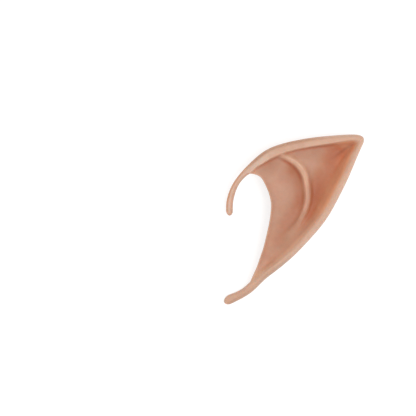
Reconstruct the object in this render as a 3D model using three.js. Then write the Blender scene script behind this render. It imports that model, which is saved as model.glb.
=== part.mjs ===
import * as THREE from "three";

// Elf ear tip: a hollow latex cover that slips over the top of the wearer's left ear and carries it out to a point.
// Millimetres. The piece lies on its back: +X towards the pointed tip, +Y up the ear, +Z out of its front face.
// The origin is the middle of its footprint, and z = 0 is the flat middle of the back wall.
//
// The cover is one moulded shell. A front wall shaped like an ear and a domed back wall meet along the outer rim,
// the pocket for the real ear is open along the concave edge, and two solid arms run on from the pocket's ends:
// a slender one that hooks round the front of the ear, and a tail that lies along its back.

// One row for each section across the ear, from the end of the upper arm to the end of the lower tail.
//   out, in    ends of the section on the outer outline and on the concave edge
//   crestZ     height of the rim        midZ   height of the outline    backZ  height of the back wall's middle
//   rimW       width of the rim         fall   width of its inner slope outerR rounding of its outer side
//   domeW      width over which the back wall curves in to its middle
//   mouth      0 where the section is solid, 1 where the pocket is fully open
//   pocketIn   how far in from the outline the pocket stops
//   foldAt     where along the section the antihelix fold crosses it
const SECTION_COLUMNS = [
  "name", "outX", "outY", "inX", "inY", "crestZ", "midZ", "backZ", "rimW", "fall", "outerR", "domeW", "mouth", "pocketIn", "foldAt",
];
const SECTIONS = [
  ["arm_end",   -31.20,   4.00, -28.10,   3.90,  5.0,  3.7, 2.4, 3.6, 0.8, 1.5,  1.5, 0.00, 3.0, 0.50],
  ["arm_low",   -31.10,   7.70, -28.00,   7.50,  5.9,  4.6, 3.2, 3.6, 0.8, 1.5,  1.5, 0.00, 3.0, 0.50],
  ["arm_bend",  -29.30,  14.00, -26.60,  13.20,  7.8,  6.3, 4.7, 3.6, 0.8, 1.4,  1.5, 0.00, 3.0, 0.50],
  ["arm_high",  -26.40,  19.00, -24.00,  17.80,  9.8,  7.8, 5.8, 3.6, 0.8, 1.5,  1.6, 0.00, 3.0, 0.50],
  ["arm_root",  -22.30,  23.80, -21.00,  20.00, 12.0,  8.9, 5.4, 3.6, 1.0, 1.8,  2.4, 0.20, 3.0, 0.50],
  ["crook",     -17.30,  28.60, -18.45,  20.35, 13.5,  9.2, 3.6, 3.6, 0.9, 2.1,  5.0, 0.65, 3.0, 0.53],
  ["crook_out", -12.30,  32.20, -15.80,  19.60, 14.4,  9.1, 1.8, 4.5, 1.0, 2.3,  8.5, 0.95, 3.0, 0.56],
  ["shoulder",   -6.00,  34.70, -14.40,  18.10, 14.8,  8.9, 0.6, 5.0, 1.2, 2.3, 11.0, 1.00, 3.0, 0.63],
  ["top_1",       1.40,  36.50, -12.80,  15.00, 14.8,  8.9, 0.0, 4.6, 1.0, 2.2, 12.5, 1.00, 3.0, 0.64],
  ["top_2",      10.30,  37.90, -11.70,  12.40, 14.6,  9.1, 0.0, 4.5, 1.0, 2.0, 12.8, 1.00, 3.0, 0.56],
  ["top_3",      20.20,  38.80, -10.90,   9.50, 14.3,  9.6, 0.0, 4.3, 1.4, 1.8, 13.0, 1.00, 4.6, 0.47],
  ["tip_top",    27.40,  39.10, -10.60,   7.80, 14.2, 10.2, 0.0, 4.0, 2.4, 1.6, 13.0, 1.00, 7.2, 0.41],
  ["tip_up",     31.30,  38.40, -10.50,   6.80, 14.1, 10.4, 0.0, 3.8, 2.8, 1.3, 13.0, 1.00, 9.2, 0.39],
  ["tip",        32.40,  37.10, -10.50,   5.90, 14.1, 10.5, 0.0, 3.7, 4.0, 1.2, 13.0, 1.00, 9.4, 0.38],
  ["tip_down",   31.50,  33.70, -10.50,   5.40, 14.1, 10.4, 0.0, 4.3, 5.2, 1.1, 13.0, 1.00, 8.4, 0.40],
  ["tip_rear",   29.50,  29.20, -10.60,   4.10, 14.2, 10.2, 0.0, 4.8, 6.2, 1.0, 13.0, 1.00, 6.8, 0.43],
  ["rear_1",     25.60,  19.90, -11.00,   0.60, 14.4,  9.4, 0.0, 5.3, 6.2, 1.0, 13.0, 1.00, 4.6, 0.48],
  ["rear_2",     20.40,   9.20, -11.70,  -3.30, 14.5,  8.7, 0.0, 5.2, 6.3, 1.1, 12.8, 1.00, 3.7, 0.51],
  ["rear_3",     14.85,  -0.40, -12.80,  -8.10, 14.3,  8.1, 0.0, 5.3, 5.0, 1.2, 12.5, 1.00, 3.0, 0.48],
  ["rear_4",      7.40,  -9.42, -14.00, -13.00, 13.6,  7.5, 0.0, 4.9, 5.0, 1.4, 12.0, 1.00, 3.0, 0.42],
  ["rear_5",     -0.22, -17.30, -15.50, -17.60, 12.3,  6.8, 0.0, 4.2, 3.6, 1.6, 11.0, 1.00, 3.0, 0.40],
  ["rear_6",     -7.75, -23.70, -17.30, -22.50, 10.4,  5.6, 0.0, 3.9, 2.8, 1.8,  9.0, 0.95, 3.0, 0.40],
  ["tail_root", -13.70, -28.45, -19.75, -27.05,  8.0,  4.3, 0.0, 3.3, 2.2, 1.9,  5.6, 0.55, 3.0, 0.42],
  ["tail_bend", -18.70, -33.35, -22.20, -30.85,  5.4,  2.9, 0.0, 4.6, 1.6, 1.9,  3.0, 0.08, 3.0, 0.46],
  ["tail_low",  -23.60, -36.65, -24.70, -32.90,  3.9,  2.0, 0.0, 4.6, 1.0, 1.9,  2.0, 0.00, 3.0, 0.50],
  ["tail_end",  -28.80, -39.30, -29.80, -35.10,  3.1,  1.5, 0.0, 4.8, 1.0, 2.0,  2.0, 0.00, 3.0, 0.50],
];

// The antihelix fold, from where it comes out from under the upper rim to where it dies away:
// a point on its crest, its height over the ground beside it, and the reach of its two flanks.
const FOLD_COLUMNS = ["name", "x", "y", "height", "innerFall", "outerFall"];
const FOLD = [
  ["hidden",    -14.0,  27.2, 0.0, 0.9, 1.2],
  ["rise",       -8.2,  29.3, 0.4, 0.9, 1.2],
  ["emerge",      -4.2,  28.5, 2.4, 1.0, 1.7],
  ["upper",       -1.5,  27.1, 2.8, 1.2, 1.9],
  ["bend",         1.1,  25.4, 3.1, 1.4, 2.0],
  ["bend_low",     3.4,  22.9, 3.3, 1.6, 2.0],
  ["front",        5.1,  20.0, 3.7, 1.8, 1.8],
  ["middle_up",    6.0,  16.5, 3.9, 1.8, 1.6],
  ["middle",       6.6,  12.5, 3.7, 1.8, 1.5],
  ["middle_low",   6.4,   8.5, 3.5, 1.7, 1.5],
  ["lower",        5.4,   4.6, 3.1, 1.6, 1.6],
  ["fade_1",       3.7,   0.9, 1.9, 1.5, 1.7],
  ["fade_2",       1.5,  -2.8, 1.2, 1.8, 1.9],
  ["fade_3",     -1.0,  -6.4, 1.0, 2.5, 2.3],
  ["fade_4",     -3.6,  -9.7, 0.5, 3.0, 3.0],
  ["gone",       -6.8, -13.4, 0.0, 3.0, 3.0],
];

// Heights of the front wall's ground, before the rim and the fold are raised on it.
const GROUND_COLUMNS = ["name", "x", "y", "z"];
const GROUND = [
  ["arm",            -29.0, 10.0,  6.0], ["arm_root", -22.0, 22.0, 10.4], ["edge_crook", -18.8, 20.9, 11.3],
  ["edge_high", -14.4, 18.4, 11.8], ["edge_upper", -12.3, 14.8, 11.6], ["edge_middle", -10.6, 7.0, 11.1],
  ["edge_lower", -12.0, -5.0, 10.6], ["edge_low", -14.4, -14.5, 9.3], ["edge_tail", -17.6, -23.0, 7.6],
  ["tail",           -23.5, -34.5, 3.6], ["concha_under_rim", -11.0, 25.4, 10.7], ["concha_bright", -9.6, 19.6, 12.0],
  ["concha_top",      -6.0, 24.0, 11.0], ["concha_pit", -1.6, 22.6, 9.8], ["concha_mid", -4.0, 15.5, 10.8],
  ["concha_fold", 2.2, 13.2, 9.3], ["concha_open", -5.8, 8.6, 10.7], ["concha_fold_low", 1.6, 5.4, 9.0],
  ["concha_low",      -7.2, -1.5, 10.1], ["concha_deep", -0.7, -4.0, 8.7], ["concha_foot", -9.4, -12.0, 9.1],
  ["concha_drain", -5.6, -11.4, 8.7], ["concha_tail", -10.8, -19.6, 8.0], ["scapha_start", 3.0, 30.8, 11.4],
  ["fold_root",       -2.6, 30.8, 12.1], ["fold_back", 3.4, 28.0, 11.7], ["scapha_shelf", 6.4, 25.2, 11.1],
  ["fold_side", 8.0, 21.6, 9.9], ["scapha_top", 8.8, 31.4, 10.4], ["scapha_front", 9.2, 18.6, 9.0],
  ["scapha_mid", 14.6, 31.4, 9.6], ["scapha_hill", 13.0, 26.2, 9.9], ["scapha_slope", 14.8, 20.2, 9.0],
  ["scapha_deep", 21.8, 32.0, 8.2], ["scapha_tip", 26.8, 34.0, 10.4], ["scapha_rear", 20.2, 24.0, 9.0],
  ["scapha_low", 23.6, 26.8, 10.0], ["gutter_top", 9.6, 12.2, 7.8], ["gutter_rear", 15.2, 13.0, 9.8],
  ["gutter_low", 7.7, 4.5, 8.0], ["gutter_side", 11.2, 5.2, 9.8], ["gutter_end", 4.6, -3.0, 9.1],
  ["gutter_fade",      0.6, -8.8,  9.5], ["rear_low", -3.0, -14.0, 9.6], ["scapha_edge", 21.4, 35.0, 11.0], ["scapha_side", 15.4, 34.4, 10.1], ["tail_field", -7.2, -17.6, 9.3], ["scapha_corner", 26.2, 30.0, 11.0],
];

const WALL_FRONT = 1.5;      // latex thickness of the front wall
const WALL_BACK = 1.4;       // latex thickness of the back wall
const LIP_R = 0.72;          // rounding of the front wall's cut edge
const BACK_LIP_R = 0.68;     // rounding of the back wall's cut edge
const BACK_SET = 3.2;        // how far the back wall's edge stands back from the front wall's
const ARM_R = 1.35;          // rounding of the arms' inner side
const ARM_CAP = 2.35;        // how far the upper arm's round end reaches past its last section
const TAIL_CAP = 3.1;        // the same for the tail
const TIP_LIFT = 6.2;        // how far the back wall sweeps up to the tip
const TIP_REACH = 30;        // over this distance
const FLARE = 0.9;           // how far the back wall lifts towards its own edge
const FLARE_W = 5;           // over this width
const POCKET_ROUND = 1.2;    // depth of the pocket's rounded end
const FOLD_HALF = 2.8;       // half the width that the fold's facets take
const INNER_POWER = 4;       // steepness of the fold's flank towards the bowl
const OUTER_POWER = 3.2;     // and towards the rear rim
const SLOPE_POWER = 0.65;    // below 1, the rim's slope starts steep and runs out gently
const LEAST_POCKET = 0.9;    // least clear height of the pocket

// Facets along the ear and across each stretch of a section's closed outline.
const FACETS = {
  sections: 54, near: 5, fold: 7, far: 4, fall: 3, crest: 2, rim: 5, backRim: 4, dome: 3, flat: 1, flare: 4,
  backLip: 3, floor: 4, end: 3, ceiling: 4, lip: 4, cap: 4,
};
const SPAN_STEPS = 40;       // steps between two rows on the long curves
const DEPTH_STEPS = 140;     // steps across a section on which its depth is measured

const SKIN = { color: 0xcd9b82, roughness: 0.55, metalness: 0 };

const clamp = (x, lo, hi) => Math.min(Math.max(x, lo), hi);
const mix = (a, b, t) => a + (b - a) * t;
const column = (rows, columns, name) => rows.map((row) => row[columns.indexOf(name)]);
const smoothStep = (lo, hi, x) => {
  const t = clamp((x - lo) / (hi - lo), 0, 1);
  return t * t * (3 - 2 * t);
};

function interpolate(x, xs, ys) {
  if (x <= xs[0]) return ys[0];
  const last = xs.length - 1;
  if (x >= xs[last]) return ys[last];
  let lo = 0, hi = last;
  while (hi - lo > 1) {
    const mid = (lo + hi) >> 1;
    if (xs[mid] <= x) lo = mid; else hi = mid;
  }
  return ys[lo] + (ys[hi] - ys[lo]) * (x - xs[lo]) / (xs[hi] - xs[lo]);
}

function solve(matrix, right) {
  const n = matrix.length, sides = right[0].length;
  const a = matrix.map((row, i) => [...row, ...right[i]]);
  for (let c = 0; c < n; c++) {
    let best = c;
    for (let r = c + 1; r < n; r++) if (Math.abs(a[r][c]) > Math.abs(a[best][c])) best = r;
    [a[c], a[best]] = [a[best], a[c]];
    for (let r = c + 1; r < n; r++) {
      const f = a[r][c] / a[c][c];
      if (f !== 0) for (let k = c; k < n + sides; k++) a[r][k] -= f * a[c][k];
    }
  }
  const x = Array.from({ length: n }, () => new Array(sides).fill(0));
  for (let r = n - 1; r >= 0; r--) {
    for (let q = 0; q < sides; q++) {
      let sum = a[r][n + q];
      for (let k = r + 1; k < n; k++) sum -= a[r][k] * x[k][q];
      x[r][q] = sum / a[r][r];
    }
  }
  return x;
}

// Natural cubic through points in the plane, measured by its own length.
class Spline {
  constructor(points) {
    const n = points.length;
    const h = points.slice(1).map((p, i) => Math.hypot(p[0] - points[i][0], p[1] - points[i][1]) ** 0.75);
    const a = Array.from({ length: n }, () => new Array(n).fill(0));
    const b = Array.from({ length: n }, () => [0, 0]);
    a[0][0] = a[n - 1][n - 1] = 1;
    for (let i = 1; i < n - 1; i++) {
      a[i][i - 1] = h[i - 1];
      a[i][i] = 2 * (h[i - 1] + h[i]);
      a[i][i + 1] = h[i];
      for (const q of [0, 1]) {
        b[i][q] = 6 * ((points[i + 1][q] - points[i][q]) / h[i] - (points[i][q] - points[i - 1][q]) / h[i - 1]);
      }
    }
    const m = solve(a, b);
    this.line = [];
    for (let k = 0; k < n - 1; k++) {
      for (let j = 0; j < SPAN_STEPS + (k === n - 2 ? 1 : 0); j++) {
        const v = j / SPAN_STEPS * h[k], u = h[k] - v;
        this.line.push([0, 1].map((q) => (m[k][q] * u ** 3 + m[k + 1][q] * v ** 3) / (6 * h[k])
          + (points[k][q] / h[k] - m[k][q] * h[k] / 6) * u + (points[k + 1][q] / h[k] - m[k + 1][q] * h[k] / 6) * v));
      }
    }
    this.length = [0];
    for (let i = 1; i < this.line.length; i++) {
      this.length.push(this.length[i - 1] + Math.hypot(this.line[i][0] - this.line[i - 1][0], this.line[i][1] - this.line[i - 1][1]));
    }
    this.knots = points.map((_, k) => this.length[k * SPAN_STEPS]);
    this.xs = this.line.map((p) => p[0]);
    this.ys = this.line.map((p) => p[1]);
  }

  at(s) {
    return [interpolate(s, this.length, this.xs), interpolate(s, this.length, this.ys)];
  }
}

// Monotone cubic of a value over the row number.
class Smooth {
  constructor(y) {
    const d = y.slice(1).map((v, i) => v - y[i]);
    this.y = y;
    this.m = y.map((_, i) => {
      if (i === 0) return d[0];
      if (i === y.length - 1) return d[d.length - 1];
      return d[i - 1] * d[i] > 0 ? 2 * d[i - 1] * d[i] / (d[i - 1] + d[i]) : 0;
    });
  }

  at(u) {
    const k = clamp(Math.floor(u), 0, this.y.length - 2);
    const t = u - k, { y, m } = this;
    return (2 * t ** 3 - 3 * t ** 2 + 1) * y[k] + (t ** 3 - 2 * t ** 2 + t) * m[k]
      + (-2 * t ** 3 + 3 * t ** 2) * y[k + 1] + (t ** 3 - t ** 2) * m[k + 1];
  }
}

// Thin plate through named heights.
class Plate {
  constructor(x, y, z, stiff = 0.05) {
    this.points = x.map((v, i) => [v, y[i]]);
    const n = x.length;
    const a = Array.from({ length: n + 3 }, () => new Array(n + 3).fill(0));
    for (let i = 0; i < n; i++) {
      for (let j = 0; j < n; j++) a[i][j] = Plate.kernel(Math.hypot(x[i] - x[j], y[i] - y[j]));
      a[i][i] += stiff;
      [1, x[i], y[i]].forEach((v, k) => { a[i][n + k] = a[n + k][i] = v; });
    }
    this.w = solve(a, [...z, 0, 0, 0].map((v) => [v])).map((v) => v[0]);
  }

  static kernel(r) {
    return r < 1e-9 ? 0 : r * r * Math.log(r) * 0.1;
  }

  at(p) {
    const n = this.points.length, w = this.w;
    let z = w[n] + p[0] * w[n + 1] + p[1] * w[n + 2];
    this.points.forEach((q, i) => { z += w[i] * Plate.kernel(Math.hypot(p[0] - q[0], p[1] - q[1])); });
    return z;
  }
}

// Distance to a polyline, the side it is on and how far along.
function nearest(p, line) {
  let best = Infinity, side = 0, where = 0;
  for (let i = 0; i < line.length - 1; i++) {
    const abx = line[i + 1][0] - line[i][0], aby = line[i + 1][1] - line[i][1];
    const apx = p[0] - line[i][0], apy = p[1] - line[i][1];
    const t = clamp((apx * abx + apy * aby) / (abx * abx + aby * aby), 0, 1);
    const d2 = (apx - t * abx) ** 2 + (apy - t * aby) ** 2;
    if (d2 < best) {
      best = d2;
      side = Math.sign(abx * apy - aby * apx);
      where = i + t;
    }
  }
  return { distance: Math.sqrt(best), side, where };
}

class Ear {
  constructor() {
    const section = (name) => column(SECTIONS, SECTION_COLUMNS, name);
    const fold = (name) => column(FOLD, FOLD_COLUMNS, name);
    const ground = (name) => column(GROUND, GROUND_COLUMNS, name);
    const pairs = (x, y) => x.map((v, i) => [v, y[i]]);
    this.outer = new Spline(pairs(section("outX"), section("outY")));
    this.inner = new Spline(pairs(section("inX"), section("inY")));
    this.outerAt = new Smooth(this.outer.knots);
    this.innerAt = new Smooth(this.inner.knots);
    this.columns = {};
    for (const name of SECTION_COLUMNS.slice(5)) this.columns[name] = new Smooth(section(name));
    this.fold = new Spline(pairs(fold("x"), fold("y")));
    this.foldColumns = {};
    for (const name of FOLD_COLUMNS.slice(3)) this.foldColumns[name] = new Smooth(fold(name));
    this.ground = new Plate(ground("x"), ground("y"), ground("z"));
    this.tipRow = section("name").indexOf("tip");
    this.tip = [SECTIONS[this.tipRow][1], SECTIONS[this.tipRow][2]];
    this.topLine = this.outer.line.slice(0, this.tipRow * SPAN_STEPS + 1);
    this.rearLine = this.outer.line.slice(this.tipRow * SPAN_STEPS);
  }

  ends(u) {
    return [this.inner.at(this.innerAt.at(u)), this.outer.at(this.outerAt.at(u))];
  }

  values(u) {
    return Object.fromEntries(Object.entries(this.columns).map(([name, curve]) => [name, curve.at(u)]));
  }

  // Depth in from the outline: the true one, and one rounded where the top and the rear sides meet.
  depth(p, k) {
    const d1 = nearest(p, this.topLine).distance, d2 = nearest(p, this.rearLine).distance;
    const real = Math.min(d1, d2);
    const soft = real - k * Math.log(Math.exp(-(d1 - real) / k) + Math.exp(-(d2 - real) / k));
    return { real, soft: mix(real, soft, smoothStep(0.6, 3.5, real)) };
  }

  // Height of the front surface: ground, fold and rim.
  front(p, row, soft) {
    const { distance, side, where } = nearest(p, this.fold.line);
    const r = where / SPAN_STEPS;
    const reach = (side < 0 ? this.foldColumns.innerFall : this.foldColumns.outerFall).at(r);
    const power = side < 0 ? INNER_POWER : OUTER_POWER;
    const fold = this.foldColumns.height.at(r) / (1 + (distance / reach) ** power) * smoothStep(0, 0.5, r);
    const z = this.ground.at(p) + fold;
    const down = clamp((soft - row.rimW + 0.5 * row.fall) / row.fall, 0, 1) ** SLOPE_POWER;
    return mix(z, row.crestZ, 1 - smoothStep(0, 1, down));
  }

  // Height of the back surface: a dome, flat in its middle, that sweeps up to the tip.
  back(p, row, soft) {
    const nearTip = clamp(1 - Math.hypot(p[0] - this.tip[0], p[1] - this.tip[1]) / TIP_REACH, 0, 1);
    const back = row.backZ + TIP_LIFT * nearTip * nearTip;
    const x = clamp(1 - soft / row.domeW, 0, 1);
    return mix(back, row.midZ, 1 - Math.sqrt(Math.max(0, 1 - x * x)));
  }
}

// n values from a to b, with or without the last one.
const spread = (n, a, b, withLast = false) =>
  Array.from({ length: n }, (_, i) => mix(a, b, i / (withLast ? n - 1 : n)));

// The closed outline of one section, as points in space.
function sectionLoop(ear, u) {
  const [inner, outer] = ear.ends(u);
  const row = ear.values(u);
  const width = Math.hypot(outer[0] - inner[0], outer[1] - inner[1]);
  const mouth = clamp(row.mouth, 0, 1);
  const plan = (f) => [mix(inner[0], outer[0], f), mix(inner[1], outer[1], f)];

  const fractions = [], depths = [];
  let deepest = -Infinity;
  for (let i = 0; i < DEPTH_STEPS; i++) {
    const t = (i / (DEPTH_STEPS - 1)) ** 1.6;
    deepest = Math.max(deepest, ear.depth(plan(1 - t), 0.6).soft);
    fractions.push(t);
    depths.push(deepest + i * 1e-7);
  }
  const atDepth = (depth, most = Infinity) => Math.min(interpolate(depth, depths, fractions), most);

  // front surface, from the concave edge out to the outline
  const lipR = mix(ARM_R, LIP_R, mouth);
  const lip = lipR / width;
  const crestDepth = Math.max(row.rimW - 0.55 * row.fall, row.outerR * 1.1 + 0.2);
  const rimDepth = Math.max(row.rimW + 0.62 * row.fall, crestDepth + 0.8);
  const fRim = atDepth(rimDepth, 1 - lip - 0.02);
  const fCrest = atDepth(crestDepth, 0.95 * fRim);
  const fRound = atDepth(row.outerR, 0.92 * fCrest);
  const field = 1 - fRim - lip;
  const foldAt = clamp(row.foldAt, 0, 1) * width;
  const lo = clamp((foldAt - FOLD_HALF) / width, lip + 0.25 * field, lip + 0.86 * field);
  const hi = clamp((foldAt + FOLD_HALF) / width, lo + 0.06 * field, Math.max(lo + 0.06 * field, lip + 0.93 * field));
  const top = [
    ...spread(FACETS.near, lip, lo), ...spread(FACETS.fold, lo, hi), ...spread(FACETS.far, hi, 1 - fRim),
    ...spread(FACETS.fall, 1 - fRim, 1 - fCrest), ...spread(FACETS.crest, 1 - fCrest, 1 - fRound),
  ];
  for (let i = 0; i < FACETS.rim; i++) {
    const angle = Math.PI / 2 * i / FACETS.rim;
    top.push(i === 0 ? 1 - fRound : 1 - atDepth(row.outerR * (1 - Math.sin(angle)), fRound));
  }
  const topPoints = top.map((f) => {
    const p = plan(f), { real, soft } = ear.depth(p, 0.6);
    const q = clamp((row.outerR - real) / row.outerR, 0, 1);
    const z = mix(row.midZ, ear.front(p, row, soft), Math.sqrt(Math.max(0, 1 - q * q)));
    return [...p, z];
  });

  // back surface, from the outline in to the back wall's edge
  const backEnd = mix(ARM_R, BACK_SET + BACK_LIP_R, mouth);
  const bBack = backEnd / width;
  const dome = 0.62 * Math.min(row.domeW, 6);
  const shrink = Math.min(1, 0.55 * (1 - bBack) / Math.max(atDepth(dome), 1e-6));
  const bottom = [];
  for (let i = 0; i < FACETS.backRim; i++) {
    bottom.push(1 - shrink * atDepth(dome * (1 - Math.cos(Math.PI / 2 * i / FACETS.backRim))));
  }
  const bDome = 1 - shrink * atDepth(dome);
  const bFlat = clamp(1 - atDepth(row.domeW), mix(bBack, bDome, 0.3), mix(bBack, bDome, 0.75));
  const bFlare = clamp(bBack + FLARE_W / width, mix(bBack, bFlat, 0.3), mix(bBack, bFlat, 0.7));
  bottom.push(...spread(FACETS.dome, bDome, bFlat), ...spread(FACETS.flat, bFlat, bFlare), ...spread(FACETS.flare, bFlare, bBack, true));
  const flare = (f) => FLARE * (1 - smoothStep(0, FLARE_W, f * width - backEnd)) * mouth;
  const backZ = (p, f) => ear.back(p, row, ear.depth(p, 1.6).soft) + flare(f);
  const bottomPoints = bottom.map((f) => {
    const p = plan(f);
    return [...p, backZ(p, f)];
  });

  // inner side: back wall's edge, pocket floor, pocket end, ceiling, front wall's edge
  const zTop = topPoints[0][2], zBottom = bottomPoints[bottomPoints.length - 1][2];
  const bPocket = Math.max(1 - atDepth(row.pocketIn + POCKET_ROUND), bBack + 0.3 / width);
  const bStop = Math.max(1 - atDepth(row.pocketIn), bPocket + 0.3 / width);
  const walls = (f) => {
    const p = plan(f), atLip = zTop - 2 * lipR;
    const high = mix(atLip, ear.ground.at(p) - WALL_FRONT, smoothStep(0, 2.5, f * width - lipR));
    const low = Math.min(backZ(p, f) + WALL_BACK, high - LEAST_POCKET);
    return { p, low, high };
  };
  const floor = spread(FACETS.floor, bBack, bPocket).map((f) => { const w = walls(f); return [...w.p, w.low]; });
  const ceiling = spread(FACETS.ceiling, bPocket, lip).map((f) => { const w = walls(f); return [...w.p, w.high]; });
  const deep = walls(bPocket);
  const end = Array.from({ length: FACETS.end }, (_, i) => {
    const angle = -Math.PI / 2 + Math.PI * i / FACETS.end;
    return [...plan(mix(bPocket, bStop, Math.cos(angle))), mix(deep.low, deep.high, (1 + Math.sin(angle)) / 2)];
  });
  const zFloor = floor[0][2];
  const backLip = Array.from({ length: FACETS.backLip }, (_, i) => {
    const angle = -Math.PI / 2 + Math.PI * (i + 1) / (FACETS.backLip + 1);
    return [...plan(bBack - BACK_LIP_R / width * Math.cos(angle)), mix(zBottom, zFloor, (1 + Math.sin(angle)) / 2)];
  });
  const frontLip = Array.from({ length: FACETS.lip }, (_, i) => {
    const angle = -Math.PI / 2 + Math.PI * i / FACETS.lip;
    return [...plan(lip * (1 - Math.cos(angle))), zTop - lipR + lipR * Math.sin(angle)];
  });
  const hollow = [...backLip, ...floor, ...end, ...ceiling, ...frontLip];

  // where the arms are solid, the same points close the section with a plain rounding
  const side = hollow.map((open, i) => {
    const angle = -Math.PI / 2 + Math.PI * (i + 1) / (hollow.length + 1);
    const shut = [...plan(ARM_R / width * (1 - Math.cos(angle))), mix(zBottom, zTop, (1 + Math.sin(angle)) / 2)];
    return shut.map((v, q) => mix(v, open[q], mouth));
  });
  return [...topPoints, ...bottomPoints, ...side];
}

// Row numbers of the sections: evenly spaced, and closer round the tip.
function stations(ear, n) {
  const steps = 4000, last = SECTIONS.length - 1;
  const rows = Array.from({ length: steps + 1 }, (_, i) => i / steps * last);
  const run = [0];
  let before = ear.ends(0);
  for (let i = 1; i <= steps; i++) {
    const now = ear.ends(rows[i]);
    const length = [0, 1].reduce((sum, k) => sum + 0.5 * Math.hypot(now[k][0] - before[k][0], now[k][1] - before[k][1]), 0);
    const toTip = ((rows[i] + rows[i - 1]) / 2 - ear.tipRow) / 1.6;
    run.push(run[i - 1] + length * (1 + 1.6 * Math.exp(-toTip * toTip)));
    before = now;
  }
  return Array.from({ length: n }, (_, i) => interpolate(run[steps] * i / (n - 1), run, rows));
}

const middle = (loop) => [0, 1, 2].map((q) => {
  const v = loop.map((p) => p[q]);
  return (Math.min(...v) + Math.max(...v)) / 2;
});

// The rings that close an arm with a round end, and its last point.
function roundEnd(loop, inward, reach) {
  const c = middle(loop), from = middle(inward);
  const axis = new THREE.Vector3(c[0] - from[0], c[1] - from[1], (c[2] - from[2]) * 0.5).normalize().toArray();
  const rings = [];
  for (let k = 1; k < FACETS.cap; k++) {
    const angle = Math.PI / 2 * k / FACETS.cap;
    rings.push(loop.map((p) => p.map((v, q) => c[q] + (v - c[q]) * Math.cos(angle) + axis[q] * reach * Math.sin(angle))));
  }
  return { rings, pole: c.map((v, q) => v + axis[q] * reach) };
}

function earGeometry() {
  const ear = new Ear();
  const loops = stations(ear, FACETS.sections).map((u) => sectionLoop(ear, u));
  const arm = roundEnd(loops[0], loops[1], ARM_CAP);
  const tail = roundEnd(loops[loops.length - 1], loops[loops.length - 2], TAIL_CAP);
  const rings = [...arm.rings.reverse(), ...loops, ...tail.rings];
  const n = rings[0].length;
  const index = [];
  for (let j = 0; j < rings.length - 1; j++) {
    for (let k = 0; k < n; k++) {
      const a = j * n + k, b = j * n + (k + 1) % n;
      index.push(a, a + n, b + n, a, b + n, b);
    }
  }
  const first = rings.length * n, last = first + 1, end = (rings.length - 1) * n;
  for (let k = 0; k < n; k++) {
    const next = (k + 1) % n;
    index.push(first, k, next);
    index.push(last, end + next, end + k);
  }
  const geometry = new THREE.BufferGeometry();
  geometry.setAttribute("position", new THREE.Float32BufferAttribute([...rings.flat(), arm.pole, tail.pole].flat(), 3));
  geometry.setIndex(index);
  geometry.computeVertexNormals();
  return geometry;
}

const ear = new THREE.Mesh(earGeometry(), new THREE.MeshStandardMaterial(SKIN));
ear.name = "ear_tip";

const group = new THREE.Group();
group.add(ear);

export default group;
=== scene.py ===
import math
import bpy
import numpy as np
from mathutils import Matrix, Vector
from mathutils.bvhtree import BVHTree


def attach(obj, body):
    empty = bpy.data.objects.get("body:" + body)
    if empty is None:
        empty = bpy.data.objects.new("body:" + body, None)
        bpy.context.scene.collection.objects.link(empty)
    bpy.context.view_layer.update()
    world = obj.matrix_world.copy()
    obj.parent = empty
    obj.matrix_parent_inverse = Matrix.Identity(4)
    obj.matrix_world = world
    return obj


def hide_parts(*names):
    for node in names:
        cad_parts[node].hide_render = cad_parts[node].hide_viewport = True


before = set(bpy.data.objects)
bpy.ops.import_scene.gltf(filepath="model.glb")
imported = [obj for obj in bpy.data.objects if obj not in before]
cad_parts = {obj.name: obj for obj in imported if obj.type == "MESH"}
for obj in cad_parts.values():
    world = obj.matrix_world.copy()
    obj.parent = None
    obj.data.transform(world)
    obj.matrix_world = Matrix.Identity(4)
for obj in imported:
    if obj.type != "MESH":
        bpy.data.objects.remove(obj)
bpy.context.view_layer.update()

# ---------------------------------------------------------------------------------------------------------------
# Shape: the same tables and rules as the solid, sampled finely. Millimetres until the mesh is made.
# ---------------------------------------------------------------------------------------------------------------

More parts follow.
